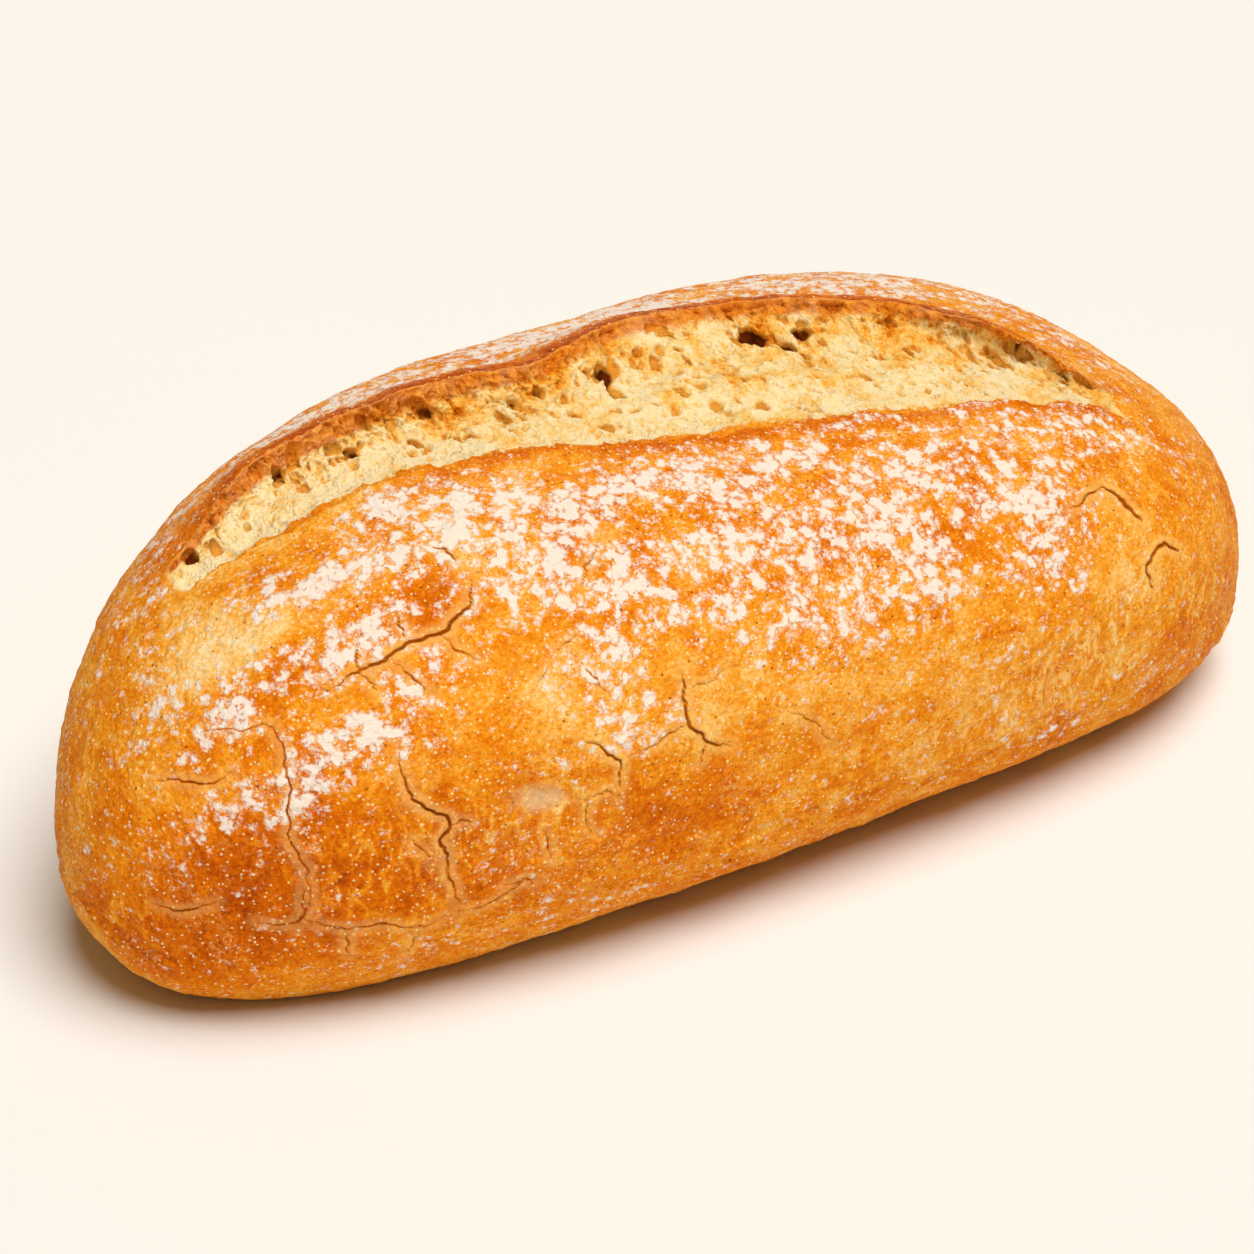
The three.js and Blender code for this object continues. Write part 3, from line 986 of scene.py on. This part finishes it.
class Nodes:
    """Short calls that add shader nodes to one material and join them up."""

    def __init__(self, name):
        self.material = bpy.data.materials.new(name)
        self.material.use_nodes = True
        self.tree = self.material.node_tree
        self.shader = self.tree.nodes["Principled BSDF"]
        self.place = self.add("ShaderNodeTexCoord").outputs["Object"]

    def add(self, kind):
        return self.tree.nodes.new(kind)

    def join(self, value, socket):
        if isinstance(value, bpy.types.NodeSocket):
            self.tree.links.new(value, socket)
        else:
            socket.default_value = value

    def finish(self, values):
        """Sets the shader's own sockets, and gives the material."""
        for name, value in values.items():
            self.join(value, self.shader.inputs[name])
        return self.material

    def attribute(self, name):
        node = self.add("ShaderNodeAttribute")
        node.attribute_name = name
        return node.outputs["Fac"]

    def noise(self, size_mm, detail, roughness, warp=0.0):
        """Noise from about 0 to 1 with features of a size in millimetres."""
        node = self.add("ShaderNodeTexNoise")
        self.join(self.place, node.inputs["Vector"])
        node.inputs["Scale"].default_value = 1 / (size_mm * MM)
        node.inputs["Detail"].default_value = detail
        node.inputs["Roughness"].default_value = roughness
        node.inputs["Distortion"].default_value = warp
        return node.outputs["Fac"]

    def cells(self, size_mm, feature="F1"):
        """Cells of about a size in millimetres: a node with distances from their middles."""
        node = self.add("ShaderNodeTexVoronoi")
        node.feature = feature
        self.join(self.place, node.inputs["Vector"])
        node.inputs["Scale"].default_value = 1 / (size_mm * MM)
        return node

    def distance(self, size_mm, feature="F1"):
        return self.cells(size_mm, feature).outputs["Distance"]

    def math(self, operation, a, b=0.0, c=0.0):
        node = self.add("ShaderNodeMath")
        node.operation = operation
        for value, socket in zip((a, b, c), node.inputs):
            self.join(value, socket)
        return node.outputs[0]

    def times(self, a, b):
        return self.math("MULTIPLY", a, b)

    def total(self, first, *others):
        for other in others:
            first = self.math("ADD", first, other)
        return first

    def centred(self, noise, strength):
        """Noise about 0 instead of a half, strength high from end to end."""
        return self.math("MULTIPLY_ADD", noise, strength, -strength / 2)

    def veins(self, noise):
        """0 on the winding lines where noise is a half, and more away from them."""
        return self.math("ABSOLUTE", self.centred(noise, 2.0))

    def span(self, value, low, high):
        """value from low to high, smoothly turned into 0 to 1, or 1 to 0 where low is the higher."""
        if low > high:
            return self.math("SUBTRACT", 1.0, self.span(value, high, low))
        node = self.add("ShaderNodeMapRange")
        node.interpolation_type = "SMOOTHSTEP"
        for name, given in (("From Min", low), ("From Max", high), ("Value", value)):
            self.join(given, node.inputs[name])
        return node.outputs["Result"]

    def ramp(self, value, stops):
        node = self.add("ShaderNodeValToRGB")
        elements = node.color_ramp.elements
        while len(elements) < len(stops):
            elements.new(0.5)
        for element, (position, colour) in zip(elements, stops):
            element.position = position
            element.color = (*linear(colour), 1)
        self.join(value, node.inputs["Fac"])
        return node.outputs["Color"]

    def blend(self, share, a, b, mode="MIX"):
        node = self.add("ShaderNodeMix")
        node.data_type = "RGBA"
        node.blend_type = mode
        self.join(share, node.inputs[MIX_SHARE])
        for value, socket in ((a, node.inputs[MIX_FIRST]), (b, node.inputs[MIX_SECOND])):
            if isinstance(value, tuple):
                value = (*linear(value), 1)
            self.join(value, socket)
        return node.outputs[MIX_COLOUR]

    def tint(self, colour, other, where, most):
        """The colour, turned by at most a share towards another one where where is 1."""
        return self.blend(self.times(where, most), colour, other)


def linear(colour):
    """Display colours from 0 to 255, as the linear values that shaders use."""
    parts = [c / 255 for c in colour]
    return [c / 12.92 if c <= 0.04045 else ((c + 0.055) / 1.055) ** 2.4 for c in parts]


def crust_colour(n):
    """Mottled golden crust: paler where it blistered thin, browner where it stood out in the oven."""
    tone = n.times(n.attribute("tone"), 0.27)
    mottle = n.centred(n.noise(*MOTTLE), 0.8)
    blotch = n.centred(n.noise(*BLOTCH), 0.3)
    grain = n.centred(n.noise(*GRAIN), 1.1)
    return n.ramp(n.total(0.49, tone, mottle, blotch, grain), CRUST_COLOURS)


def blister_highlight_mask(n):
    """Small pale blister specks, in most of the cells, painted brighter as the blisters' highlights."""
    cells = n.cells(1.35)
    chosen = n.math("GREATER_THAN", cells.outputs["Color"], 0.27)
    return n.times(n.span(cells.outputs["Distance"], 0.26, 0.14), chosen)


def mark_crust(n, colour, blister_highlight, pore, dimple, lip):
    """Adds the pale curls, the blister specks with their painted highlights, the dimple and crack lips,
    and the painted shade in the pores.
    """
    curls = n.span(n.veins(n.noise(*CURLS)), 0.08, 0.015)
    curls = n.times(curls, n.span(n.noise(*CURL_DRIFT), 0.5, 0.66))
    colour = n.tint(colour, CURL_COLOUR, curls, 0.35)
    colour = n.tint(colour, BLISTER_HIGHLIGHT_COLOUR, blister_highlight, 0.85)
    colour = n.tint(colour, PORE_PAINTED_SHADE, pore, 0.8)
    colour = n.tint(colour, DIMPLE_COLOUR, dimple, 0.6)
    return n.tint(colour, LIP_COLOUR, lip, 0.42)


def flour_cover(n, crack):
    """How much of the crust the flour hides, and where it lies thick."""
    flour = n.attribute("flour")
    for size, slope, level in GRANULES:
        flour = n.total(flour, n.math("MULTIPLY_ADD", n.distance(size), slope, level))
    flour = n.total(flour, n.centred(n.noise(*FLOUR_GRAIN), 0.6))
    thick = n.span(flour, 0.0, 0.14)
    stipple = n.total(n.times(flour, 0.9), n.centred(n.noise(*STIPPLE), 2.6))
    dust = n.times(n.span(stipple, -0.5, 0.3), n.span(flour, -0.75, -0.15))
    cover = n.math("MAXIMUM", n.times(thick, 0.9), n.times(dust, 0.66))
    return n.times(cover, n.span(crack, 0.5, 0.2)), thick


def crumb_colour(n, fibre, pit, rim):
    """Cream crumb, toasted where it stands out, with painted shade in its pores and holes, darkest in
    the deep holes, and browned along the rim.
    """
    patches = n.centred(n.noise(*PATCHES), 0.7)
    toast = n.total(n.attribute("toast"), patches, n.centred(fibre, 0.5))
    colour = n.ramp(n.times(toast, 0.6), CRUMB_COLOURS)
    colour = n.blend(1.0, colour, n.ramp(pit, PIT_PAINTED_SHADE), "MULTIPLY")
    colour = n.blend(n.span(pit, 1.3, 2.2), colour, DEEP_HOLE_PAINTED_SHADE)
    return n.tint(colour, n.ramp(n.noise(*RIM_MOTTLE), RIM_COLOURS), rim, 0.85)


def relief(n, marks):
    """Raises each mark by its height in millimetres over the skin's own grain."""
    height = n.times(n.noise(*SKIN_BUMP), SKIN_BUMP_HEIGHT)
    for mark, mark_height in marks:
        height = n.math("MULTIPLY_ADD", mark, mark_height, height)
    bump = n.add("ShaderNodeBump")
    bump.inputs["Strength"].default_value = 1.0
    bump.inputs["Distance"].default_value = MM
    n.join(height, bump.inputs["Height"])
    return bump.outputs["Normal"]


def bread_material():
    n = Nodes("baguette_crust_and_crumb")
    ragged = n.centred(n.noise(*RAGGEDNESS), 1.2)
    crumb = n.span(n.total(n.attribute("crumb"), ragged), 0.4, 0.6)
    rim = n.span(n.total(n.attribute("rim"), n.times(ragged, 0.9)), 0.25, 0.75)
    # pit: the dimple on the crust, and on the crumb the depth of its holes and pores, which sets their
    # painted shade.
    pit = n.attribute("pit")
    crack = n.attribute("crack")
    lip = n.times(n.attribute("lip"), n.span(crack, 0.5, 0.25))
    on_crust = n.math("SUBTRACT", 1.0, crumb)
    dimple = n.times(n.span(n.total(pit, ragged), 0.25, 1.1), on_crust)
    blister_highlight = blister_highlight_mask(n)
    # Tiny pits in the crust: a small dent and painted shade.
    pore = n.span(n.distance(3.1), 0.11, 0.06)
    inside_crack = n.span(crack, 0.28, 0.8)
    cover, thick = flour_cover(n, crack)
    fibre = n.span(n.veins(n.noise(*FIBRES)), 0.02, 0.34)

    colour = mark_crust(n, crust_colour(n), blister_highlight, pore, dimple, lip)
    colour = n.blend(cover, colour, FLOUR_COLOUR)
    # Painted shade inside the cracks.
    colour = n.tint(colour, CRACK_PAINTED_SHADE, inside_crack, 0.92)
    colour = n.blend(crumb, colour, crumb_colour(n, fibre, pit, rim))

    matt = n.math("MAXIMUM", cover, n.times(crumb, n.math("SUBTRACT", 1.0, rim)))
    gloss = n.math("MULTIPLY_ADD", n.noise(*GLOSS), 0.3, 0.33)
    marks = (
        (n.distance(1.3, "SMOOTH_F1"), -0.4),
        (blister_highlight, 0.09),
        (pore, -0.15),
        (inside_crack, -0.3),
        (thick, 0.14),
        (n.times(fibre, crumb), -0.06),
    )
    return n.finish(
        {
            "Base Color": colour,
            "Roughness": n.math("MAXIMUM", gloss, n.times(matt, 0.92)),
            "Normal": relief(n, marks),
            "Subsurface Weight": 0.05,
            "Subsurface Radius": (1.0, 0.45, 0.15),
            "Subsurface Scale": 1.5 * MM,
            "Specular IOR Level": 0.035,
        }
    )


def floor_material():
    n = Nodes("pale_floor")
    colour = n.blend(n.noise(*FLOOR_CLOUDS), *FLOOR_COLOURS)
    return n.finish({"Base Color": colour, "Roughness": 0.9, "Specular IOR Level": 0.1})


# -------- the studio
CAMERA_AZIMUTH = -33.7
CAMERA_ELEVATION = 35
CAMERA_DISTANCE = 719.4
CAMERA_AIM = (-4.7, -1.8, 29.5)
CAMERA_LENS = 100
CAMERA_SENSOR = 36
SUN_PLACE = (0.13, -0.22, 1)
SUN_POWER = 2.95
SUN_COLOUR = (0.99, 0.985, 0.975)
SUN_WIDTH = 39  # degrees
FILLS = {"front_fill": ((-1.2, -1.9, 0.75), 20.5), "rear_fill": ((1.1, 1.6, 1.1), 11)}
FILL_COLOUR = (1.0, 0.98, 0.95)
FILL_SIZE = 1.3
SKY_LIGHT = (0.14, 0.128, 0.065, 1)
SKY_SEEN = (0.985, 0.925, 0.845, 1)
FLOOR_REACH = 6.0


def make_camera():
    azimuth = math.radians(CAMERA_AZIMUTH)
    elevation = math.radians(CAMERA_ELEVATION)
    level = math.cos(elevation)
    back = Vector((math.sin(azimuth) * level, -math.cos(azimuth) * level, math.sin(elevation)))
    data = bpy.data.cameras.new("camera")
    data.lens = CAMERA_LENS
    data.sensor_width = CAMERA_SENSOR
    data.clip_start = 0.01
    camera = bpy.data.objects.new("camera", data)
    bpy.context.scene.collection.objects.link(camera)
    aim = Vector(to_frame(np.array([CAMERA_AIM]))[0])
    camera.location = aim + back * CAMERA_DISTANCE * MM
    camera.rotation_euler = (-back).to_track_quat("-Z", "Y").to_euler()
    bpy.context.scene.camera = camera


def add_light(name, kind, place, power, colour):
    """A light that shines from its place to the middle of the loaf."""
    data = bpy.data.lights.new(name, kind)
    data.energy = power
    data.color = colour
    light = bpy.data.objects.new(name, data)
    light.location = place
    light.rotation_euler = (-Vector(place)).to_track_quat("-Z", "Y").to_euler()
    bpy.context.scene.collection.objects.link(light)
    return light


def add_fill(name, place, power, loaf):
    """A broad light that reaches the loaf alone and doesn't bounce on, so its shadow stays dark."""
    light = add_light(name, "AREA", place, power, FILL_COLOUR)
    light.data.size = FILL_SIZE
    receivers = bpy.data.collections.new(name + "_receivers")
    receivers.objects.link(loaf)
    light.light_linking.receiver_collection = receivers
    light.data.cycles.max_bounces = 0


def make_studio(loaf):
    """A soft sun, two fills on the loaf, and a world that is paler to the camera than to the loaf."""
    overhead = add_light("overhead", "SUN", SUN_PLACE, SUN_POWER, SUN_COLOUR)
    overhead.data.angle = math.radians(SUN_WIDTH)
    for name, (place, power) in FILLS.items():
        add_fill(name, place, power, loaf)
    world = bpy.data.worlds.new("studio")
    world.use_nodes = True
    tree = world.node_tree
    ray = tree.nodes.new("ShaderNodeLightPath")
    sky = tree.nodes.new("ShaderNodeMix")
    sky.data_type = "RGBA"
    sky.inputs[MIX_FIRST].default_value = SKY_LIGHT
    sky.inputs[MIX_SECOND].default_value = SKY_SEEN
    tree.links.new(ray.outputs["Is Camera Ray"], sky.inputs[MIX_SHARE])
    tree.links.new(sky.outputs[MIX_COLOUR], tree.nodes["Background"].inputs["Color"])
    bpy.context.scene.world = world
    bpy.context.scene.view_settings.view_transform = "Standard"


def make_floor():
    mesh = bpy.data.meshes.new("floor")
    corners = [(FLOOR_REACH * x, FLOOR_REACH * y, 0) for x, y in ((-1, -1), (1, -1), (1, 1), (-1, 1))]
    mesh.from_pydata(corners, [], [(0, 1, 2, 3)])
    mesh.materials.append(floor_material())
    floor = bpy.data.objects.new("floor", mesh)
    bpy.context.scene.collection.objects.link(floor)


loaf = make_loaf()
loaf.data.materials.append(bread_material())
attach(loaf, "root")
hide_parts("loaf")
make_floor()
make_camera()
make_studio(loaf)
